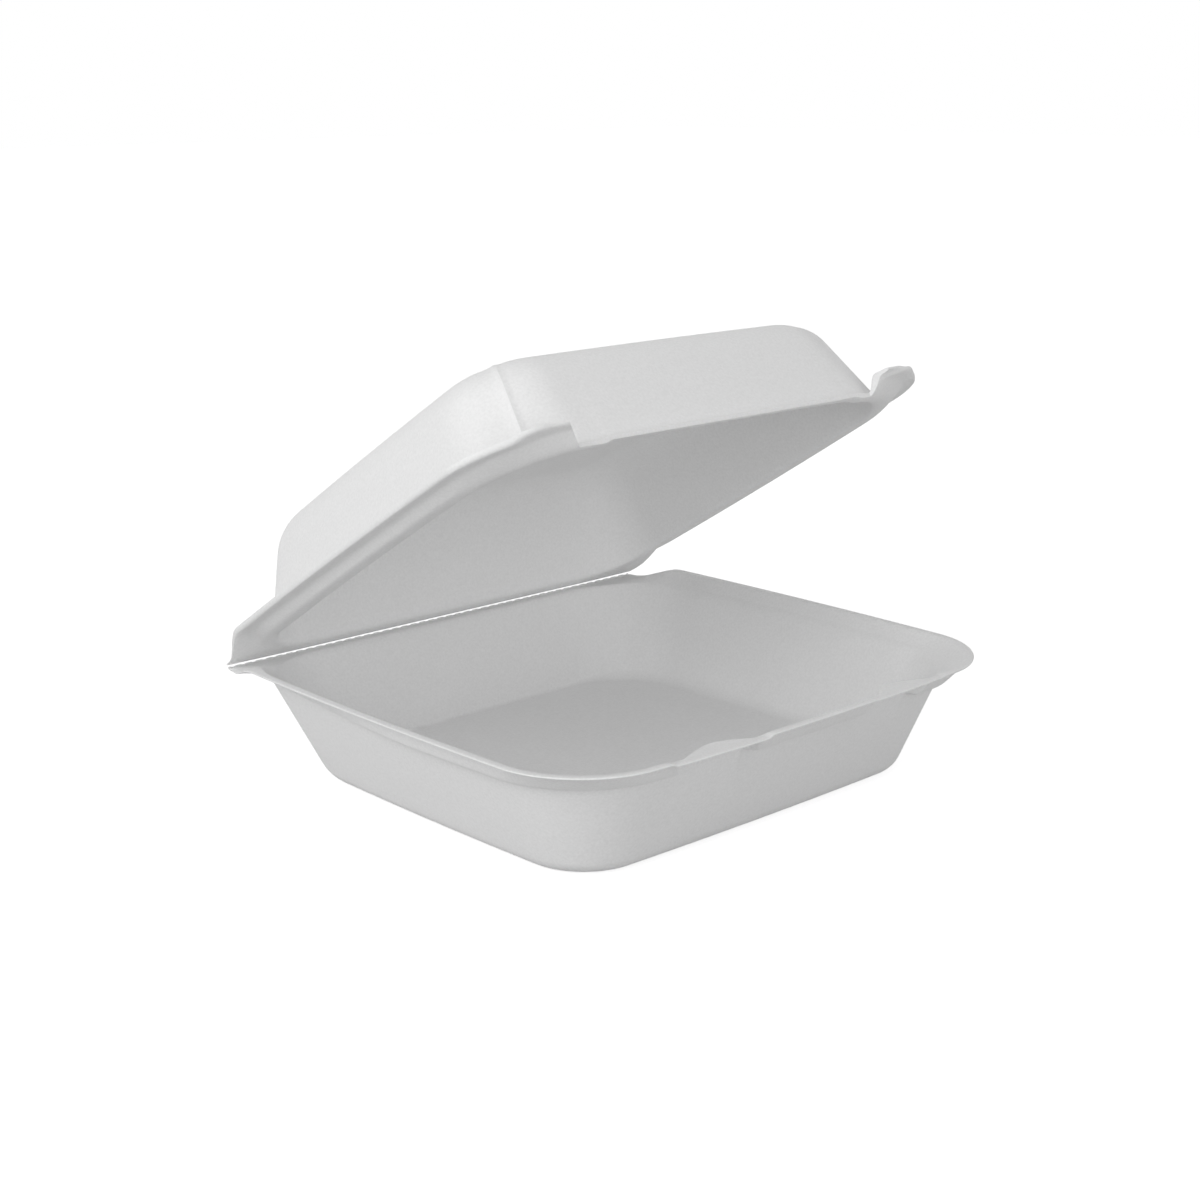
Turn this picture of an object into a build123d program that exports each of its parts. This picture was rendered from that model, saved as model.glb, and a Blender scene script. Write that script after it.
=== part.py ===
from build123d import *
import math
import os

# Hinged clamshell food container, thermoformed from one sheet of foam: a tray
# and a domed lid, joined along a perforated fold at the back.
# Millimetres, +Z up. The origin is the centre of the tray's footprint on the
# surface it stands on. The fold runs along X, and the catches face -Y.
# Outlines are measured forwards from the fold, heights from the parting plane,
# which is the height of the fold.

# Sheet: formed wall, pressed edges, and the air left between the closed shells
foam = 2.3
tray_edge = 1.2
lid_edge = 1.0
seat_clearance = 0.35
plug_clearance = 0.45

# Tray wall, outside: its outline at the parting plane, and how far it draws in
# on its way down to the floor
tray_depth = 38.1
wall_half = 98.0
wall_back = 2.7
wall_front = 186.0
wall_side_bow = 4.2
wall_front_bow = 4.4
wall_back_radius = 34.0
wall_front_radius = 32.0
tray_side_draw = 14.0
tray_back_draw = 14.6
tray_front_draw = 12.2
floor_bow = 1.5
floor_back_radius = 33.0
floor_front_radius = 22.0
floor_edge_radius = 8.0

# Tray rim: a small ledge, a flared band and a level lip with a thin edge
rim_side_reach = 8.4
rim_front_reach = 9.8
rim_height = 5.4
rim_side_bow = 1.9
rim_front_bow = 4.6
rim_corner_radius = 34.0
ledge_width = 2.1
ledge_drop = 1.8
lip_width = 3.6
lip_overhang = 2.0
seat_foot = -0.8
seat_top = 1.0
back_flare = 1.0

# Back corners: the rim runs down to the fold
ramp_start = 5.0
ramp_end = 26.0
ramp_corner_radius = 20.0
fold_draw = 5.0

# Perforated fold
hinge_clearance = 0.3
bridge_radius = 0.8
bridge_pitch = 4.5
slit_length = 1.7
slit_depth = 0.8

# Catches: half-elliptic shelves pressed inwards under the front lip
catch_centre = 45.4
catch_half_width = 19.4
catch_reach = 9.8
catch_wall = 1.5
catch_drop = 0.9
catch_inset = 1.2
pocket_foot = -0.4

# Lid shell, outside: how far inside the tray's wall it stands at the parting
# plane, and how far it draws in on its way up to the crown
lid_height = 42.6
lid_side_inset = 3.4
lid_back_inset = 3.3
lid_front_inset = 1.0
lid_side_bow = 3.0
lid_front_bow = 1.8
lid_back_ease = 9.0
lid_front_radius = 30.0
lid_side_draw = 12.1
lid_back_draw = 19.0
lid_front_draw = 12.4
crown_bow = 1.2
crown_back_radius = 19.0
crown_front_radius = 25.0
crown_edge_radius = 17.0

# Lid flange: a plug seated in the tray's rim, and a level lip over it
plug_lift = 0.6
plug_thickness = 1.5
plug_wall = 2.4
flange_side_overlap = 0.5
flange_front_setback = 3.0
flange_side_bow = 3.0
flange_front_bow = 2.0
flange_corner_radius = 28.0

# Front edge of the lid, trimmed back to the wall between two leaning ears
ear_inner = 69.0
ear_lean_angle = 38.0
ear_corner_radius = 4.0
strip_reach = 2.4
raised_left = -54.0
raised_right = 61.0
raised_lift = 1.0
raised_ramp = 5.0

# Where the lid stands, in degrees from closed
lid_rest_angle = 31.3

# Each rounded edge is built up in flat steps
edge_steps = 5

floor_half = wall_half - tray_side_draw
floor_back = wall_back + tray_back_draw
floor_front = wall_front - tray_front_draw
rim_half = wall_half + rim_side_reach
rim_front = wall_front + rim_front_reach
fold_half = rim_half - fold_draw
lid_half = wall_half - lid_side_inset
lid_back = wall_back + lid_back_inset
lid_front = wall_front - lid_front_inset
lid_back_radius = wall_back_radius - lid_back_ease
crown_half = lid_half - lid_side_draw
crown_back = lid_back + lid_back_draw
crown_front = lid_front - lid_front_draw
flange_half = rim_half + flange_side_overlap
flange_front = rim_front - flange_front_setback
trim_front = lid_front + strip_reach

fold_origin = (0, (floor_back + floor_front) / 2, tray_depth)
tilt = math.radians(lid_rest_angle)
tray_plane = Plane(fold_origin, x_dir=(1, 0, 0), z_dir=(0, 0, 1))
lid_plane = Plane(fold_origin, x_dir=(1, 0, 0), z_dir=(0, math.sin(tilt), math.cos(tilt)))
reach = 2 * rim_front
rim_bows = (rim_side_bow, rim_front_bow)
flange_bows = (flange_side_bow, flange_front_bow)


def between(start, end, share):
    return start + (end - start) * share


def outline(plane, half, back, front, radii, bows):
    """Four-sided outline with bowed sides and front; radii are (back, front), bows (side, front)."""
    middle = -(back + front) / 2
    with BuildSketch(plane) as shape:
        with BuildLine():
            Line((-half, -back), (half, -back))
            ThreePointArc((half, -back), (half + bows[0], middle), (half, -front))
            ThreePointArc((half, -front), (0, -front - bows[1]), (-half, -front))
            ThreePointArc((-half, -front), (-half - bows[0], middle), (-half, -back))
        make_face()
        fillet(shape.vertices().sort_by(Axis.Y)[:2], radii[1])
        fillet(shape.vertices().sort_by(Axis.Y)[-2:], radii[0])
    return shape.sketch


def blank_outline(plane, half, front, corner_radius, bows, trim):
    """Plan of a rim or flange, drawn in at the back to the ends of the fold."""
    middle = -(ramp_end + front) / 2
    with BuildSketch(plane) as shape:
        with BuildLine():
            Polyline((-half, -ramp_end), (-fold_half, -trim), (fold_half, -trim), (half, -ramp_end))
            ThreePointArc((half, -ramp_end), (half + bows[0], middle), (half, -front))
            ThreePointArc((half, -front), (0, -front - bows[1]), (-half, -front))
            ThreePointArc((-half, -front), (-half - bows[0], middle), (-half, -ramp_end))
        make_face()
        fillet(shape.vertices().sort_by(Axis.Y)[:2], corner_radius)
        fillet(shape.vertices().sort_by(Axis.Y)[-4:-2], ramp_corner_radius)
    return shape.sketch


def tray_section(height, inset):
    """Tray wall outline at a height, drafted from the parting plane to the floor."""
    share = -height / tray_depth
    return outline(tray_plane.offset(height),
                   between(wall_half, floor_half, share) - inset,
                   between(wall_back, floor_back, share) + inset,
                   between(wall_front, floor_front, share) - inset,
                   (between(wall_back_radius, floor_back_radius, share) - inset,
                    between(wall_front_radius, floor_front_radius, share) - inset),
                   (between(wall_side_bow, floor_bow, share),
                    between(wall_front_bow, floor_bow, share)))


def lid_section(height, inset):
    """Lid wall outline at a height, drafted from the parting plane to the crown."""
    share = height / lid_height
    return outline(lid_plane.offset(height),
                   between(lid_half, crown_half, share) - inset,
                   between(lid_back, crown_back, share) + inset,
                   between(lid_front, crown_front, share) - inset,
                   (between(lid_back_radius, crown_back_radius, share) - inset,
                    between(lid_front_radius, crown_front_radius, share) - inset),
                   (between(lid_side_bow, crown_bow, share),
                    between(lid_front_bow, crown_bow, share)))


def flare_section(plane, height, lift, inset):
    """Inside of the tray's flared seat at a height; the plug keeps to it, lifted and inset."""
    share = (height - lift - seat_top) / (rim_height - seat_top)
    return outline(plane.offset(height),
                   between(wall_half, rim_half - lip_width, share) - inset,
                   between(wall_back + back_flare, wall_back, share) + inset,
                   between(wall_front, rim_front - lip_width, share) - inset,
                   (wall_back_radius - inset,
                    between(wall_front_radius, rim_corner_radius - lip_width, share) - inset),
                   (between(wall_side_bow, rim_side_bow, share),
                    between(wall_front_bow, rim_front_bow, share)))


def rounded_edge(radius, draft):
    """Steps of an edge between a flat and a drafted wall: heights off the flat, insets from the wall."""
    steps = []
    for step in range(edge_steps + 1):
        turn = between(math.pi / 2, draft, step / edge_steps)
        height = radius * (1 - math.sin(turn))
        inset = radius * (1 / math.cos(draft) - math.cos(turn) - math.tan(draft) * math.sin(turn))
        steps.append((height, inset))
    return steps


def side_view(plane):
    """Plane of the side view: its X runs backwards, its Y upwards, from the fold."""
    return Plane(plane.origin, x_dir=plane.y_dir, z_dir=plane.x_dir)


def front_view(plane):
    """Plane of the front view: its X runs to the right, its Y upwards, from the fold."""
    return Plane(plane.origin, x_dir=plane.x_dir, z_dir=-plane.y_dir)


def ramp_profile(plane, level, low, thickness):
    """Side view of a sheet whose top lies level in front and runs down to the fold."""
    with BuildSketch(side_view(plane)) as shape:
        with BuildLine():
            Line((-reach, level), (-ramp_end, level))
            Spline((-ramp_end, level), (-ramp_start, low), tangents=((1, 0), (1, 0)))
            Polyline((-ramp_start, low), (reach, low), (reach, low - thickness),
                     (-ramp_start, low - thickness))
            Spline((-ramp_start, low - thickness), (-ramp_end, level - thickness),
                   tangents=((-1, 0), (-1, 0)))
            Polyline((-ramp_end, level - thickness), (-reach, level - thickness), (-reach, level))
        make_face()
    return shape.sketch


def strip_profile(low, high):
    """Front view of a band along the lid's trimmed edge, lifted between two short ramps."""
    path = ((-ear_inner, 0), (raised_left - raised_ramp, 0), (raised_left, raised_lift),
            (raised_right, raised_lift), (raised_right + raised_ramp, 0), (ear_inner, 0))
    with BuildSketch(front_view(lid_plane).offset(lid_front - lid_set)) as shape:
        with BuildLine():
            Polyline(*[(x, low + lift) for x, lift in path],
                     *[(x, high + lift) for x, lift in reversed(path)], close=True)
        make_face()
    return shape.sketch


def trimmed_away(plane):
    """Plan of the sheet trimmed off in front of the lid, between the leaning sides of its ears."""
    lean = reach * math.tan(math.radians(ear_lean_angle))
    with BuildSketch(plane) as shape:
        with BuildLine():
            Polyline((ear_inner, -trim_front), (ear_inner + lean, -trim_front - reach),
                     (-ear_inner - lean, -trim_front - reach), (-ear_inner, -trim_front), close=True)
        make_face()
    return shape.sketch


def catch_places(distance):
    return Locations((-catch_centre, -distance), (catch_centre, -distance))


# Tray
tray_draft = math.atan((wall_half - floor_half) / tray_depth)
tray_set = foam / math.cos(tray_draft)
ledge_inset = rim_half - wall_half - ledge_width
catch_top = rim_height - catch_drop
catch_line = rim_front + rim_front_bow - catch_inset

with BuildPart() as rim_lip:
    extrude(ramp_profile(tray_plane, rim_height, 0, tray_edge), amount=reach / 2, both=True)
    extrude(blank_outline(tray_plane.offset(-reach / 2), rim_half, rim_front, rim_corner_radius,
                          rim_bows, 0), amount=reach, mode=Mode.INTERSECT)

with BuildPart() as rim_band:
    loft([blank_outline(tray_plane.offset(-ledge_drop), rim_half - ledge_inset, rim_front - ledge_inset,
                        rim_corner_radius - ledge_inset, (wall_side_bow, wall_front_bow), 0),
          blank_outline(tray_plane.offset(rim_height), rim_half - lip_overhang, rim_front - lip_overhang,
                        rim_corner_radius - lip_overhang, rim_bows, 0)], ruled=True)
    extrude(ramp_profile(tray_plane, rim_height - tray_edge / 2, -tray_edge / 2, rim_height + foam),
            amount=reach / 2, both=True, mode=Mode.INTERSECT)

with BuildPart() as catch_bumps:
    with BuildSketch(tray_plane.offset(seat_foot)):
        with catch_places(catch_line):
            Ellipse(catch_half_width, catch_reach)
    extrude(amount=catch_top - seat_foot)

with BuildPart() as catch_pockets:
    with BuildSketch(tray_plane.offset(pocket_foot)):
        with catch_places(catch_line):
            Ellipse(catch_half_width - catch_wall, catch_reach - catch_wall)
            Rectangle(2 * (catch_half_width - catch_wall), 2 * catch_reach,
                      align=(Align.CENTER, Align.MAX))
    extrude(amount=catch_top - tray_edge - pocket_foot)

with BuildPart() as catch_straps:
    extrude(blank_outline(tray_plane.offset(catch_top - tray_edge), rim_half, rim_front,
                          rim_corner_radius, rim_bows, 0), amount=tray_edge)
    with BuildSketch(tray_plane):
        with catch_places(rim_front):
            Rectangle(2 * catch_half_width, 2 * catch_reach)
    extrude(amount=rim_height, mode=Mode.INTERSECT)

with BuildPart() as tray_cavity:
    loft([tray_section(foam - tray_depth + height, tray_set + inset)
          for height, inset in rounded_edge(floor_edge_radius - foam, tray_draft)]
         + [tray_section(seat_foot, tray_set),
            flare_section(tray_plane, seat_top, 0, 0),
            flare_section(tray_plane, rim_height, 0, 0)], ruled=True)
    extrude(flare_section(tray_plane, rim_height, 0, 0), amount=tray_edge)
    add(catch_bumps.part, mode=Mode.SUBTRACT)

with BuildPart() as tray:
    loft([tray_section(height - tray_depth, inset)
          for height, inset in rounded_edge(floor_edge_radius, tray_draft)]
         + [tray_section(-ledge_drop, 0)], ruled=True)
    extrude(tray_section(-ledge_drop, 0), amount=ledge_drop)
    add(rim_band.part)
    add(rim_lip.part)
    # the lip dips over each catch, and the pocket beneath it opens to the front
    with BuildSketch(tray_plane.offset(catch_top)):
        with catch_places(rim_front):
            Rectangle(2 * catch_half_width, 2 * catch_reach)
    extrude(amount=2 * catch_drop, mode=Mode.SUBTRACT)
    add(catch_straps.part)
    add(catch_pockets.part, mode=Mode.SUBTRACT)
    add(tray_cavity.part, mode=Mode.SUBTRACT)
    # six-sided bridges along the fold, with slits cut between them
    with BuildSketch(side_view(tray_plane)):
        RegularPolygon(bridge_radius, 6)
    extrude(amount=fold_half, both=True)
    slit_count = 2 * int(fold_half / bridge_pitch)
    with BuildSketch(tray_plane.offset(-2 * bridge_radius)):
        with Locations((0, -slit_depth)):
            with GridLocations(bridge_pitch, 0, slit_count, 1):
                Rectangle(slit_length, slit_depth + 2 * bridge_radius, align=(Align.CENTER, Align.MIN))
    extrude(amount=4 * bridge_radius, mode=Mode.SUBTRACT)
tray.part.label = "tray"

# Lid
lid_draft = math.atan((lid_half - crown_half) / lid_height)
lid_set = foam / math.cos(lid_draft)
lip_foot = rim_height + seat_clearance
lip_top = lip_foot + lid_edge
plug_foot = seat_top + plug_lift
fold_gap = bridge_radius + hinge_clearance

with BuildPart() as flange_lip:
    extrude(ramp_profile(lid_plane, lip_top, seat_clearance + lid_edge, lid_edge),
            amount=reach / 2, both=True)
    with BuildSketch(lid_plane.offset(-reach / 2)) as flange_plan:
        add(blank_outline(Plane.XY, flange_half, flange_front, flange_corner_radius, flange_bows,
                          fold_gap))
        add(trimmed_away(Plane.XY), mode=Mode.SUBTRACT)
        fillet(flange_plan.vertices().sort_by(Axis.Y)[:2], ear_corner_radius)
    extrude(amount=reach, mode=Mode.INTERSECT)

with BuildPart() as plug:
    loft([flare_section(lid_plane, plug_foot, plug_lift, plug_clearance),
          flare_section(lid_plane, lip_top, seat_clearance, plug_clearance)], ruled=True)
    extrude(trimmed_away(lid_plane), amount=2 * lip_top, mode=Mode.SUBTRACT)
    extrude(ramp_profile(lid_plane, lip_top - lid_edge / 2, seat_clearance + lid_edge / 2, lip_top),
            amount=reach / 2, both=True, mode=Mode.INTERSECT)

with BuildPart() as moat:
    loft([flare_section(lid_plane, plug_foot + plug_thickness, plug_lift, plug_clearance + plug_wall),
          flare_section(lid_plane, 2 * lip_top, seat_clearance, plug_clearance + plug_wall)], ruled=True)

with BuildPart() as lid_cavity:
    loft([lid_section(lid_height - foam - height, lid_set + inset)
          for height, inset in rounded_edge(crown_edge_radius - foam, lid_draft)]
         + [lid_section(-foam, lid_set)], ruled=True)

with BuildPart() as lid_dome:
    loft([lid_section(lid_height - height, inset)
          for height, inset in rounded_edge(crown_edge_radius, lid_draft)]
         + [lid_section(plug_foot, 0)], ruled=True)

with BuildPart() as lid:
    add(plug.part)
    add(flange_lip.part)
    add(moat.part, mode=Mode.SUBTRACT)
    # between the ears only a thin strip is left in front of the dome
    strip_width = strip_reach + lid_set
    with BuildSketch(lid_plane.offset(-foam)):
        with Locations((0, lid_set - lid_front)):
            Rectangle(2 * ear_inner, strip_width, align=(Align.CENTER, Align.MAX))
    extrude(amount=2 * lip_top, mode=Mode.SUBTRACT)
    add(lid_dome.part)
    extrude(strip_profile(plug_foot, plug_foot + plug_thickness), amount=strip_width)
    extrude(strip_profile(-foam, plug_foot), amount=reach, mode=Mode.SUBTRACT)
    add(lid_cavity.part, mode=Mode.SUBTRACT)
lid.part.label = "lid"

os.makedirs("parts", exist_ok=True)
export_step(tray.part, "parts/tray.step")
export_step(lid.part, "parts/lid.step")
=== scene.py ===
import math

import bpy
from mathutils import Matrix, Vector


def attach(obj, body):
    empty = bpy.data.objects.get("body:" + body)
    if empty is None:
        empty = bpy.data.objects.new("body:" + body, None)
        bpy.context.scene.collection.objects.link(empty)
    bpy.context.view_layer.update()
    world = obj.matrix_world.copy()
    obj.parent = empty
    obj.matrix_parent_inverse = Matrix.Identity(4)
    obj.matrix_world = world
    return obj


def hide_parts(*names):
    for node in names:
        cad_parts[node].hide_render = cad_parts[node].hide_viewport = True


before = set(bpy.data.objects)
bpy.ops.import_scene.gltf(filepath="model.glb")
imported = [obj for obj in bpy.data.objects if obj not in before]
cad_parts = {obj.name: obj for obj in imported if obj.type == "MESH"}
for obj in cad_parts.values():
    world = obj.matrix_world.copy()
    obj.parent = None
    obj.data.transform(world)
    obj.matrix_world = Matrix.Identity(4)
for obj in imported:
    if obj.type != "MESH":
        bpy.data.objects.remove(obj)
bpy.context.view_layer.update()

# A hinged takeaway container, half open: a square tray and a domed lid, formed
# from one sheet of white foam and joined along a perforated fold at the back.
# Sizes are millimetres from the middle of the fold, forwards, sideways and up.


# Tray
# The lower half stands on the floor. Its drafted wall ends in a seat that flares
# out to a level lip, whose thin edge is trimmed. Two shelves pressed into the
# front of the seat catch the lid, and the lip runs down to the fold at the back.
mm = 0.001
fold_place = Vector((0.0, 95.55, 38.1))
tray_middle = -95.55
foam = 2.3
edge_steps = 8
softening = 2

tray_depth = 38.1
wall_half = 98.0
wall_back = 2.7
wall_front = 186.0
wall_side_draw = 14.0
wall_back_draw = 14.6
wall_front_draw = 12.2
wall_back_radius = 34.0
wall_front_radius = 28.0
wall_radius_draw = 6.0
wall_side_bow = 4.2
wall_front_bow = 4.4
side_bow_draw = 2.7
front_bow_draw = 2.9
wall_set = 2.45
floor_edge_radius = 8.0
crispness = 0.7
crease_push = 1.4

seat_foot = -0.8
seat_top = 1.0
seat_back = 3.7
rim_height = 5.4
rim_side_bow = 2.6
rim_front_bow = 4.6
tray_edge = 0.8
ramp_start = 5.0
ramp_end = 26.0
fold_draw = 5.0
tray_fold_edge = 0.45

ledge_drop = 1.8
ledge_round = 0.15
band_full = 120.0
band_end = 1.5
band_closeness = 0.8
band_least = 0.6

catch_centre = {-1: -45.4, 1: 47.6}
catch_half_width = {-1: 19.4, 1: 17.2}
catch_line = 199.2
catch_reach = 9.6
catch_squareness = 1.4
catch_drop = {-1: 0.9, 1: 0.3}
catch_end = 3.0
catch_round = 0.15
pocket_depth = 3.2
pocket_floor = -0.2
pocket_deepening = 1.6
pocket_blend = 2.4


def eased(value):
    """A smooth step from 0 to 1."""
    value = min(1.0, max(0.0, value))
    return value * value * (3.0 - 2.0 * value)


# one half of the way round, from the back to the front, as stretches and places on them
half_way_round = ([("back", step / 40) for step in range(40)]
                  + [("back corner", step / 24) for step in range(24)]
                  + [("side", step / 60) for step in range(60)]
                  + [("front corner", step / 40) for step in range(40)]
                  + [("front", step / 110) for step in range(111)])
way_round = ([(1, place) for place in half_way_round]
             + [(-1, place) for place in reversed(half_way_round[1:-1])])
way_round.append(way_round[0])


def ring(half, back, front, back_radius, front_radius, side_bow, front_bow, height,
         follow=0.0, square=0.0):
    """A level line round the shell. follow is how far it runs down at the fold."""
    return [half, back, front, back_radius, front_radius, side_bow, front_bow, height, follow, square]


def ring_point(values, column):
    """Where a line round the shell meets one column of the mesh."""
    half, back, front, back_radius, front_radius, side_bow, front_bow, height, follow, square = values
    way, (stretch, share) = column
    turn = share * math.pi / 2
    if stretch == "back":
        x, y = share * (half - back_radius), -back
    elif stretch == "back corner":
        stretch_out = 1.0 + square * (1.0 / max(math.sin(turn), math.cos(turn)) - 1.0)
        x = half - back_radius + back_radius * min(1.0, math.sin(turn) * stretch_out)
        y = -back - back_radius + back_radius * min(1.0, math.cos(turn) * stretch_out)
    elif stretch == "side":
        x = half
        y = -(back + back_radius) - share * (front - front_radius - back - back_radius)
    elif stretch == "front corner":
        x = half - front_radius + front_radius * math.cos(turn)
        y = -front + front_radius - front_radius * math.sin(turn)
    else:
        x, y = (1.0 - share) * (half - front_radius), -front
    across = x / half
    along = (2.0 * y + back + front) / (front - back)
    x += side_bow * (1.0 - along * along) * across
    y -= front_bow * (1.0 - across * across) * (1.0 - along) / 2.0
    ramp = eased((y + ramp_end) / (ramp_end - ramp_start))
    x -= square * fold_draw * across * eased((y + ramp_end) / ramp_end)
    return Vector((way * x, y, height - follow * rim_height * ramp))


def spread(corners, count):
    """Points at even steps along a path of straight runs, without its last one."""
    runs = [(b - a).length for a, b in zip(corners, corners[1:])]
    points = []
    for step in range(count):
        left = sum(runs) * step / count
        place = 0
        while place < len(runs) - 1 and left > runs[place]:
            left -= runs[place]
            place += 1
        share = left / runs[place] if runs[place] else 0.0
        points.append(corners[place].lerp(corners[place + 1], share))
    return points


def softened(points, first, last, passes):
    """Rounds the corners of a section between two of its points."""
    for _ in range(passes):
        points[first:last] = [(points[i - 1] + 2.0 * points[i] + points[i + 1]) / 4.0
                              for i in range(first, last)]
    return points


def rounded_edge(radius, draft, steps):
    """Heights off the flat and insets from the drafted wall, from the flat to the wall."""
    turns = [math.pi / 2 + (draft - math.pi / 2) * step / steps for step in range(steps + 1)]
    return [(radius * (1.0 - math.sin(turn)),
             radius * (1.0 / math.cos(draft) - math.cos(turn) - math.tan(draft) * math.sin(turn)))
            for turn in turns]


def from_middle(middle, line):
    """Starts a section at the middle of a flat, where all the sections meet."""
    return [middle, middle.lerp(line[0], 0.4), middle.lerp(line[0], 0.8)] + line


def shell_mesh(name, sections, placed):
    """A closed skin: each section is a list of points from the pole inside to the pole outside."""
    bpy.ops.object.select_all(action="DESELECT")
    columns, rows = len(sections) - 1, len(sections[0]) - 1
    bpy.ops.mesh.primitive_grid_add(x_subdivisions=columns, y_subdivisions=rows, size=2.0)
    shell = bpy.context.object
    shell.name = name
    for vertex in shell.data.vertices:
        column = round((vertex.co.x + 1.0) / 2.0 * columns)
        row = round((vertex.co.y + 1.0) / 2.0 * rows)
        vertex.co = placed(sections[column][row])
    bpy.ops.object.mode_set(mode="EDIT")
    bpy.ops.mesh.select_all(action="SELECT")
    bpy.ops.mesh.remove_doubles(threshold=0.000002)
    bpy.ops.mesh.normals_make_consistent(inside=False)
    bpy.ops.object.mode_set(mode="OBJECT")
    return shell


def tray_wall(height, inset):
    """The tray's drafted outer wall, drawn in by a thickness or by a rounded edge."""
    share = -height / tray_depth
    return ring(half=wall_half - wall_side_draw * share - inset,
                back=wall_back + wall_back_draw * share + inset,
                front=wall_front - wall_front_draw * share - inset,
                back_radius=wall_back_radius - share - inset,
                front_radius=wall_front_radius - wall_radius_draw * share - inset,
                side_bow=wall_side_bow - side_bow_draw * share,
                front_bow=wall_front_bow - front_bow_draw * share, height=height)


def back_crease(column):
    """The back corners are a little pointed, which shows as a line down the inside."""
    way, (stretch, share) = column
    if stretch != "back corner":
        return Vector((0.0, 0.0, 0.0))
    turn = share * math.pi / 2
    push = crease_push * (1.0 - abs(2.0 * share - 1.0))
    return Vector((way * math.sin(turn) * push, math.cos(turn) * push, 0.0))


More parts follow.
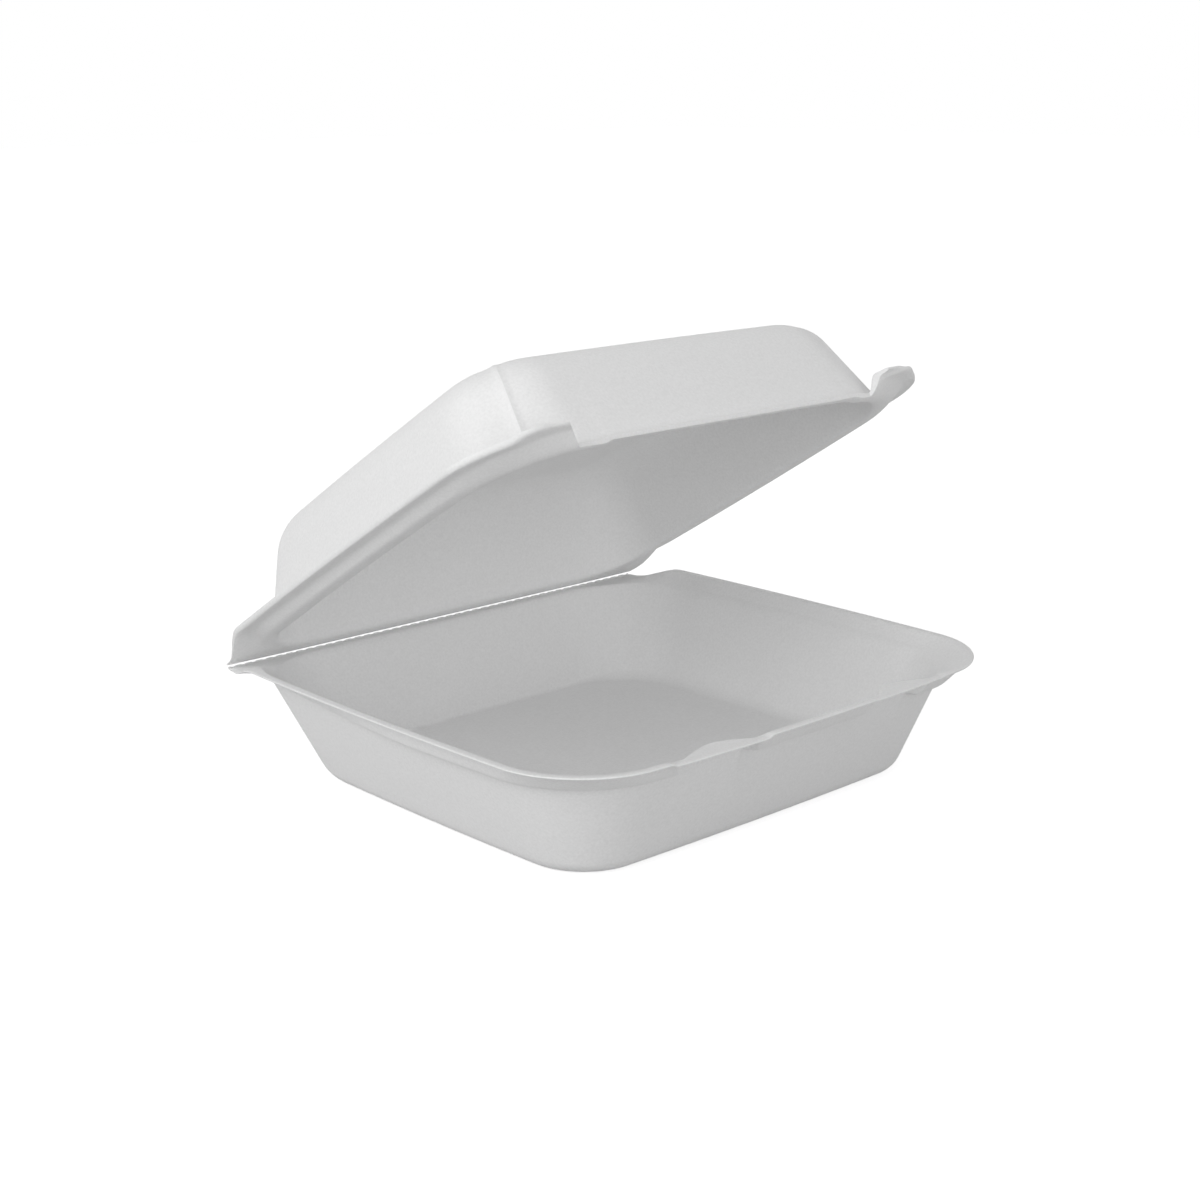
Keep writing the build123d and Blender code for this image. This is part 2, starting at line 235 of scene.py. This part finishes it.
def tray_section(column):
    """The tray's skin at one column, from the floor inside over the rim to the floor outside."""
    stretch, share = column[1]
    # the floor's inner edge is crisp along the back and round elsewhere
    crisp = {"back": 1.0, "back corner": 1.0 - eased(2.0 * share)}.get(stretch, 0.0)
    inner_radius = (floor_edge_radius - foam) * (1.0 - crispness * crisp)
    inner = [tray_wall(foam - tray_depth + rise, wall_set + inset)
             for rise, inset in rounded_edge(inner_radius, tray_draft, edge_steps)]
    outer = [tray_wall(rise - tray_depth, inset)
             for rise, inset in rounded_edge(floor_edge_radius, tray_draft, edge_steps)]
    inside = [ring_point(values, column) + back_crease(column) for values in inner]
    outside = [ring_point(values, column) + back_crease(column) for values in outer]
    inside = from_middle(Vector((0.0, tray_middle, foam - tray_depth)), inside)
    outside = from_middle(Vector((0.0, tray_middle, -tray_depth)), outside)

    foot = ring_point(tray_wall(seat_foot, wall_set), column) + back_crease(column)
    seat = ring_point(ring(half=wall_half, back=seat_back, front=wall_front, back_radius=34.0,
                           front_radius=28.0, side_bow=wall_side_bow, front_bow=wall_front_bow,
                           height=seat_top, follow=seat_top / rim_height), column)
    lip_in = ring_point(ring(half=103.4, back=2.7, front=193.2, back_radius=34.0, front_radius=28.8,
                             side_bow=rim_side_bow, front_bow=rim_front_bow,
                             height=rim_height, follow=1.0), column)
    lip_out = ring_point(ring(half=106.4, back=tray_fold_edge, front=195.8, back_radius=34.0,
                              front_radius=32.0, side_bow=rim_side_bow, front_bow=rim_front_bow,
                              height=rim_height, follow=1.0, square=1.0), column)
    lip_under = lip_out - Vector((0.0, 0.0, tray_edge))
    band_top = ring_point(ring(half=104.4, back=1.6, front=193.8, back_radius=34.0, front_radius=30.0,
                               side_bow=rim_side_bow, front_bow=rim_front_bow,
                               height=rim_height - tray_edge, follow=1.0, square=1.0), column)
    band_foot = ring_point(ring(half=100.1, back=2.2, front=189.5, back_radius=34.0, front_radius=32.0,
                                side_bow=wall_side_bow, front_bow=wall_front_bow,
                                height=-ledge_drop, square=0.6), column)
    # the band under the lip is full height in front and runs out towards the back
    taper = eased((band_foot.y + band_full) / (band_full - ramp_end))
    band_close = ring_point(tray_wall(band_end, 0.0), column) + back_crease(column)
    band_foot = band_foot.lerp(band_close, band_closeness * taper)
    band_foot.z = min(band_foot.z, band_top.z - band_least)
    wall_head = ring_point(tray_wall(band_foot.z - ledge_round, 0.0), column) + back_crease(column)
    flare, band = [seat, lip_in], [band_top, band_foot]

    # the catches: a shelf inside, with the lip dipped over it, and a pocket beneath outside
    hand = 1 if lip_in.x > 0.0 else -1
    catch_half = catch_half_width[hand]
    near = abs(lip_in.x - catch_centre[hand]) / catch_half
    if stretch == "front" and near < 1.0 + catch_end / catch_half:
        dip = Vector((0.0, 0.0, catch_drop[hand] * eased((1.0 - near) * catch_half / catch_end + 1.0)))
        lip_in, lip_out, lip_under, band_top = (p - dip for p in (lip_in, lip_out, lip_under, band_top))
        slope = (seat - lip_in) / (lip_in.z - seat.z)
        flare = [seat, lip_in]
        band = [band_top, band_foot]
        if near < 1.0:
            bow = (1.0 - near ** catch_squareness) ** (1.0 / catch_squareness)
            shelf_y = catch_reach * bow - catch_line
            if shelf_y > lip_in.y:
                rise = min((shelf_y - lip_in.y) / slope.y, lip_in.z - seat.z)
                turn_in = lip_in + slope * rise
                flare = [seat, turn_in, Vector((turn_in.x, shelf_y, lip_in.z - catch_round)),
                         Vector((turn_in.x, shelf_y - catch_round, lip_in.z)), lip_in]
            deep = pocket_depth * eased(pocket_deepening * (1.0 - near) * catch_half / catch_reach)
            blend = eased(pocket_blend * (1.0 - near) * catch_half / catch_reach)
            lower_lip = Vector((wall_head.x, wall_head.y - 0.25, pocket_floor - 0.5))
            band_foot = band_foot.lerp(lower_lip, blend)
            brink = band_foot.lerp(Vector((band_foot.x, band_foot.y - 0.2, pocket_floor)), blend)
            brink = band_foot.lerp(band_top, 0.25 * (1.0 - blend)).lerp(brink, blend)
            deep_y = Vector((0.0, deep, 0.0))
            band = [band_top, band_top + deep_y * 0.9,
                    brink + deep_y * 0.75 + Vector((0, 0, 0.3 * blend)), brink, band_foot]
    run = (spread([foot, seat], 4) + spread(flare, 18) + spread([lip_in, lip_out], 7)
           + spread([lip_out, lip_under], 3) + spread([lip_under, band_top], 4) + spread(band, 18)
           + spread([band_foot, wall_head], 4) + [wall_head])
    points = inside + [inside[-1].lerp(foot, 0.5), inside[-1].lerp(foot, 0.85)] + run
    points = softened(points, len(inside) + 2, len(points) - 1, softening)
    return points + [wall_head.lerp(outside[-1], 0.5)] + outside[::-1]


def on_tray(point):
    return (point + fold_place) * mm


tray_draft = math.atan(wall_side_draw / tray_depth)
tray_shell = shell_mesh("tray_shell", [tray_section(column) for column in way_round], on_tray)
bpy.ops.object.shade_smooth_by_angle(angle=math.radians(32))

# white foam: a faint fine grain, and thin enough for some light to come through
foam_white = bpy.data.materials.new("foam_white")
foam_white.use_nodes = True
nodes, links = foam_white.node_tree.nodes, foam_white.node_tree.links
shader = nodes["Principled BSDF"]
shader.inputs["Roughness"].default_value = 0.55
shader.inputs["Specular IOR Level"].default_value = 0.35
shader.inputs["Subsurface Weight"].default_value = 0.45
shader.inputs["Subsurface Radius"].default_value = (1.0, 1.0, 1.0)
shader.inputs["Subsurface Scale"].default_value = 0.0025
place = nodes.new("ShaderNodeTexCoord")
cloud = nodes.new("ShaderNodeTexNoise")
cloud.inputs["Scale"].default_value = 1100.0
cloud.inputs["Detail"].default_value = 2.0
tone = nodes.new("ShaderNodeValToRGB")
tone.color_ramp.elements[0].position = 0.3
tone.color_ramp.elements[0].color = (0.84, 0.84, 0.84, 1.0)
tone.color_ramp.elements[1].position = 0.7
tone.color_ramp.elements[1].color = (0.9, 0.9, 0.9, 1.0)
grain = nodes.new("ShaderNodeBump")
grain.inputs["Strength"].default_value = 0.1
grain.inputs["Distance"].default_value = 0.0002
links.new(place.outputs["Object"], cloud.inputs["Vector"])
links.new(cloud.outputs["Fac"], tone.inputs["Fac"])
links.new(tone.outputs["Color"], shader.inputs["Base Color"])
links.new(cloud.outputs["Fac"], grain.inputs["Height"])
links.new(grain.outputs["Normal"], shader.inputs["Normal"])

tray_shell.data.materials.append(foam_white)
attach(tray_shell, "tray")
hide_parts("tray")


# Fold
# The sheet is cut through in short dashes across the back, so that it bends
# there. Between the dashes it stays whole, as a row of small rounded bridges.
fold_half = 101.2
fold_step = 0.3
bridge_pitch = 4.5
slit_length = 1.7
slit_blend = 0.35
bridge_radius = 0.48
slit_radius = 0.2
fold_sink = 0.28
bridge_sides = 10


def fold_section(column):
    """One ring of the fold's skin, at one place across the container."""
    x = -fold_half + 2.0 * fold_half * column / fold_columns
    off = abs((x + bridge_pitch / 2) % bridge_pitch - bridge_pitch / 2)
    radius = slit_radius + (bridge_radius - slit_radius) * eased((off - slit_length / 2) / slit_blend + 0.5)
    if column in (0, fold_columns):
        radius = 0.0
    turns = [2.0 * math.pi * side / bridge_sides for side in range(bridge_sides + 1)]
    return [Vector((x, radius * math.cos(turn), radius * math.sin(turn) - fold_sink)) for turn in turns]


fold_columns = int(2.0 * fold_half / fold_step)
fold_line = shell_mesh("fold_line", [fold_section(column) for column in range(fold_columns + 1)], on_tray)
bpy.ops.object.shade_smooth_by_angle(angle=math.radians(40))
fold_line.data.materials.append(foam_white)
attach(fold_line, "tray")


# Lid
# The upper half is a dome with a plug that sits in the tray's seat and a level
# lip over it. The front is trimmed back to the wall between two ears, and the
# trimmed edge snaps under the tray's catches.
lid_height = 42.6
lid_middle = -98.8
lid_set = 2.4
lid_side_draw = 12.1
lid_back_draw = 19.0
lid_front_draw = 12.4
crown_edge_radius = 17.0
crown_steps = 12
ridge_place = 0.59
ridge_width = 0.05
ridge_push = 1.0
valley_push = 0.7

lid_clearance = 0.35
lip_foot = rim_height + lid_clearance
lip_half = 106.9
lip_front = 192.8
lid_edge = 1.0
lip_edge = 2.6
lip_tuck = 0.5
lid_fold_edge = 0.7
plug_foot = 1.6
plug_thickness = 1.5
plug_head_in = 5.5

trim_front = 187.4
ear_inner = 69.3
ear_lean = math.tan(math.radians(42.0))
ear_lean_full = 60.0
ear_reach = 100.0
ear_fade = 24.0
ear_curl = 1.8
curl_reach = 104.0
curl_fade = 20.0
curl_rise = 4.0
thin_edge_reach = 78.0
thin_edge_fade = 20.0
tuck_start = 150.0
tuck_fade = 40.0
strip_push = 4.0
strip_gap = 1.5
strip_fade = 4.0
raised_left = -54.0
raised_right = 61.0
raised_lift = 1.0
raised_ramp = 5.0
rest_angle = math.radians(31.3)


def lid_wall(height, inset):
    """The lid's drafted outer wall, drawn in by a thickness or by a rounded edge."""
    share = height / lid_height
    return ring(half=94.6 - lid_side_draw * share - inset, back=6.0 + lid_back_draw * share + inset,
                front=185.0 - lid_front_draw * share - inset, back_radius=25.0 - 6.0 * share - inset,
                front_radius=30.0 - 5.0 * share - inset, side_bow=3.0 - 1.8 * share,
                front_bow=1.8 - 0.6 * share, height=height)


def front_crease(column):
    """Down each front corner runs a narrow ridge with a shallow hollow beside it."""
    way, (stretch, share) = column
    if stretch != "front corner":
        return Vector((0.0, 0.0, 0.0))
    turn = share * math.pi / 2
    ridge = max(0.0, 1.0 - abs(share - ridge_place) / ridge_width)
    hollow = max(0.0, 1.0 - abs(share - ridge_place + 2.4 * ridge_width) / (3.2 * ridge_width))
    push = ridge_push * eased(ridge) - valley_push * eased(hollow)
    return Vector((way * math.cos(turn) * push, -math.sin(turn) * push, 0.0))


def lid_section(column):
    """The lid's skin at one column, from the crown inside round the lip to the crown outside."""
    inside = [ring_point(lid_wall(lid_height - foam - fall, lid_set + inset), column) + front_crease(column)
              for fall, inset in rounded_edge(crown_edge_radius - foam, lid_draft, crown_steps)]
    outside = [ring_point(lid_wall(lid_height - fall, inset), column) + front_crease(column)
               for fall, inset in rounded_edge(crown_edge_radius, lid_draft, crown_steps)]
    inside = from_middle(Vector((0.0, lid_middle, lid_height - foam)), inside)
    outside = from_middle(Vector((0.0, lid_middle, lid_height)), outside)

    sunk = (plug_foot - lid_clearance) / rim_height
    head = ring_point(lid_wall(plug_head_in, lid_set), column)
    foot_in = ring_point(lid_wall(plug_foot, lid_set), column)
    foot_in.z -= sunk * rim_height * eased((foot_in.y + ramp_end) / (ramp_end - ramp_start))
    foot_out = ring_point(ring(half=97.5, back=4.1, front=185.5, back_radius=33.5, front_radius=31.5,
                               side_bow=4.2, front_bow=4.4, height=plug_foot, follow=sunk), column)
    plug_head = ring_point(ring(half=102.3, back=3.1, front=191.7, back_radius=33.5, front_radius=30.0,
                                side_bow=1.9, front_bow=4.6, height=lip_foot, follow=1.0), column)
    lip_out = ring_point(ring(half=lip_half, back=lid_fold_edge, front=lip_front, back_radius=34.0,
                              front_radius=26.0, side_bow=3.0, front_bow=2.0, height=lip_foot,
                              follow=1.0, square=1.0), column)
    moat_head = ring_point(ring(half=101.0, back=5.5, front=190.0, back_radius=31.0, front_radius=28.0,
                                side_bow=1.9, front_bow=4.6, height=lip_foot + lid_edge,
                                follow=1.0), column)
    moat_sunk = (plug_foot + plug_thickness - lid_clearance - lid_edge) / rim_height
    moat_foot = ring_point(ring(half=96.8, back=6.4, front=185.3, back_radius=30.0, front_radius=28.0,
                                side_bow=4.2, front_bow=4.4, height=plug_foot + plug_thickness,
                                follow=moat_sunk), column)
    dome_foot = ring_point(lid_wall(plug_foot + plug_thickness, 0.0), column) + front_crease(column)
    dome_foot.z -= moat_sunk * rim_height * eased((dome_foot.y + ramp_end) / (ramp_end - ramp_start))

    if column[1][0] in ("front", "front corner"):
        # the ears are steep, lean away from each other and curl up along their front edge
        for point, short in ((plug_head, 2.8), (lip_out, -0.6), (moat_head, 2.6)):
            near_ear = eased((ear_reach - abs(point.x)) / ear_fade)
            point.y += short * near_ear
            proud = max(0.0, -point.y - trim_front)
            lean = proud * ear_lean * near_ear * eased(abs(point.x) / ear_lean_full)
            point.x += math.copysign(lean, point.x)
        curl = (eased((curl_reach - abs(lip_out.x)) / curl_fade)
                * eased((-lip_out.y - trim_front) / curl_rise))
        for point, part in ((lip_out, 1.0), (moat_head, 0.8), (plug_head, 0.5)):
            point.z += ear_curl * part * curl
        # between the ears the moat lies outside the cut, so that only a flat strip stays
        ear_tip = ear_inner + ear_lean * (-lip_out.y - trim_front)
        wide = strip_push * eased((ear_tip - strip_gap - abs(lip_out.x)) / strip_fade)
        lift = raised_lift * min(eased((foot_out.x - raised_left + raised_ramp) / raised_ramp),
                                 eased((raised_right + raised_ramp - foot_out.x) / raised_ramp))
        for point in (foot_out, plug_head, lip_out, moat_head, moat_foot):
            point.y -= wide
        if column[1][0] == "front":
            for point in (foot_in, foot_out, plug_head, lip_out, moat_head, moat_foot, dome_foot):
                point.z += lift

    # the trimmed edge of the lip is thick and leans out, except along the fold and at the ears
    edge = lid_edge + (lip_edge - lid_edge) * (
        eased((-lip_out.y - ramp_start) / (ramp_end - ramp_start))
        * eased((abs(lip_out.x) - thin_edge_reach) / thin_edge_fade))
    lip_top = lip_out + Vector((0.0, 0.0, edge))
    tuck = lip_tuck * (edge - lid_edge) / (lip_edge - lid_edge)
    lip_out = lip_out + Vector((-tuck * lip_out.x / lip_half,
                                tuck * eased((-lip_out.y - tuck_start) / tuck_fade), 0.0))
    run = (spread([head, foot_in], 6) + spread([foot_in, foot_out], 6) + spread([foot_out, plug_head], 8)
           + spread([plug_head, lip_out], 9) + spread([lip_out, lip_top], 3)
           + spread([lip_top, moat_head], 9) + spread([moat_head, moat_foot], 6)
           + spread([moat_foot, dome_foot], 4) + [dome_foot])
    points = inside + [inside[-1].lerp(head, 0.5)] + run
    plug_start = len(inside) + 2
    lip_start = plug_start + 6
    softened(points, plug_start, plug_start + 18, 5)
    softened(points, lip_start, len(points) - 1, softening)
    return points + [dome_foot.lerp(outside[-1], 0.15), dome_foot.lerp(outside[-1], 0.6)] + outside[::-1]


def on_lid(point):
    turned = Matrix.Rotation(-rest_angle, 3, "X") @ point
    return (turned + fold_place) * mm


lid_draft = math.atan(lid_side_draw / lid_height)
lid_shell = shell_mesh("lid_shell", [lid_section(column) for column in way_round], on_lid)

# the knife that trims the front edge between the ears
knife_reach = 30.0
knife_middle = 5.0
knife_half_height = 20.0
bpy.ops.object.select_all(action="DESELECT")
bpy.ops.mesh.primitive_cube_add(size=2.0)
knife = bpy.context.object
for vertex in knife.data.vertices:
    proud = knife_reach if vertex.co.y < 0.0 else 0.0
    half = ear_inner + ear_lean * proud
    vertex.co = on_lid(Vector((half * vertex.co.x, -trim_front - proud,
                               knife_middle + knife_half_height * vertex.co.z)))
bpy.ops.object.select_all(action="DESELECT")
lid_shell.select_set(True)
bpy.context.view_layer.objects.active = lid_shell
trim = lid_shell.modifiers.new("trim", "BOOLEAN")
trim.object = knife
trim.operation = "DIFFERENCE"
trim.solver = "EXACT"
bpy.ops.object.modifier_apply(modifier="trim")
bpy.data.objects.remove(knife)
bpy.ops.object.shade_smooth_by_angle(angle=math.radians(32))
lid_shell.data.materials.clear()
lid_shell.data.materials.append(foam_white)
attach(lid_shell, "lid")
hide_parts("lid")


# Floor, light and camera
# A floor that looks white and shows only the container's own soft shadow, an even
# pale room, a wide low lamp in front that reaches under the lid, and a lamp on the left.
floor_size = 12.0
floor_tone = 0.46
floor_glow = 0.8
room_light = 0.46
room_white = 1.0
lamp_aim = Vector((0, 0, 0.06))


def seen_directly(nodes, links):
    """1 for rays that look straight, by a reflection or through something, and 0 for light."""
    seen = nodes.new("ShaderNodeLightPath")
    either = nodes.new("ShaderNodeMath")
    either.operation = "MAXIMUM"
    third = nodes.new("ShaderNodeMath")
    third.operation = "MAXIMUM"
    links.new(seen.outputs["Is Camera Ray"], either.inputs[0])
    links.new(seen.outputs["Is Glossy Ray"], either.inputs[1])
    links.new(either.outputs["Value"], third.inputs[0])
    links.new(seen.outputs["Is Transmission Ray"], third.inputs[1])
    return third.outputs["Value"]


bpy.ops.object.select_all(action="DESELECT")
bpy.ops.mesh.primitive_plane_add(size=floor_size, location=(0, 0, 0))
floor = bpy.context.object
floor.name = "floor"
floor_white = bpy.data.materials.new("floor_white")
floor_white.use_nodes = True
nodes, links = floor_white.node_tree.nodes, floor_white.node_tree.links
nodes["Principled BSDF"].inputs["Base Color"].default_value = (floor_tone, floor_tone, floor_tone, 1)
nodes["Principled BSDF"].inputs["Roughness"].default_value = 1.0
glow = nodes.new("ShaderNodeEmission")
level = nodes.new("ShaderNodeMath")
level.operation = "MULTIPLY"
level.inputs[1].default_value = floor_glow
both = nodes.new("ShaderNodeAddShader")
links.new(seen_directly(nodes, links), level.inputs[0])
links.new(level.outputs["Value"], glow.inputs["Strength"])
links.new(nodes["Principled BSDF"].outputs["BSDF"], both.inputs[0])
links.new(glow.outputs["Emission"], both.inputs[1])
links.new(both.outputs["Shader"], nodes["Material Output"].inputs["Surface"])
floor.data.materials.append(floor_white)

room = bpy.data.worlds.new("room")
bpy.context.scene.world = room
room.use_nodes = True
nodes, links = room.node_tree.nodes, room.node_tree.links
level = nodes.new("ShaderNodeMapRange")
level.inputs["To Min"].default_value = room_light
level.inputs["To Max"].default_value = room_white
links.new(seen_directly(nodes, links), level.inputs["Value"])
links.new(level.outputs["Result"], nodes["Background"].inputs["Strength"])
nodes["Background"].inputs["Color"].default_value = (1, 1, 1, 1)
bpy.context.scene.view_settings.view_transform = "Standard"

for name, spot, watts, size in (("front_lamp", (-0.5, -1.5, 0.3), 7.5, 1.2),
                                ("left_lamp", (-1.05, -0.05, 0.6), 5.6, 0.8)):
    bpy.ops.object.light_add(type="AREA", location=spot)
    lamp = bpy.context.object
    lamp.name = name
    lamp.data.energy = watts
    lamp.data.size = size
    lamp.rotation_euler = (lamp_aim - lamp.location).to_track_quat("-Z", "Y").to_euler()

camera_turn = math.radians(-42.48)
camera_rise = math.radians(14.97)
camera_roll = math.radians(-0.39)
camera_reach = 0.7943
camera_right = 0.06226
camera_up = 0.00665
across = Vector((math.cos(camera_turn), math.sin(camera_turn), 0.0))
back = Vector((math.sin(camera_turn) * math.cos(camera_rise),
               -math.cos(camera_turn) * math.cos(camera_rise), math.sin(camera_rise)))
upward = back.cross(across)
right_way = math.cos(camera_roll) * across + math.sin(camera_roll) * upward
up_way = -math.sin(camera_roll) * across + math.cos(camera_roll) * upward
bpy.ops.object.camera_add()
camera = bpy.context.object
camera.name = "camera"
camera.data.sensor_width = 36.0
camera.data.lens = 59.44
camera.data.clip_start = 0.01
turn = Matrix((right_way, up_way, back)).transposed().to_4x4()
eye = fold_place * mm + camera_right * right_way + camera_up * up_way + camera_reach * back
camera.matrix_world = Matrix.Translation(eye) @ turn
bpy.context.scene.camera = camera
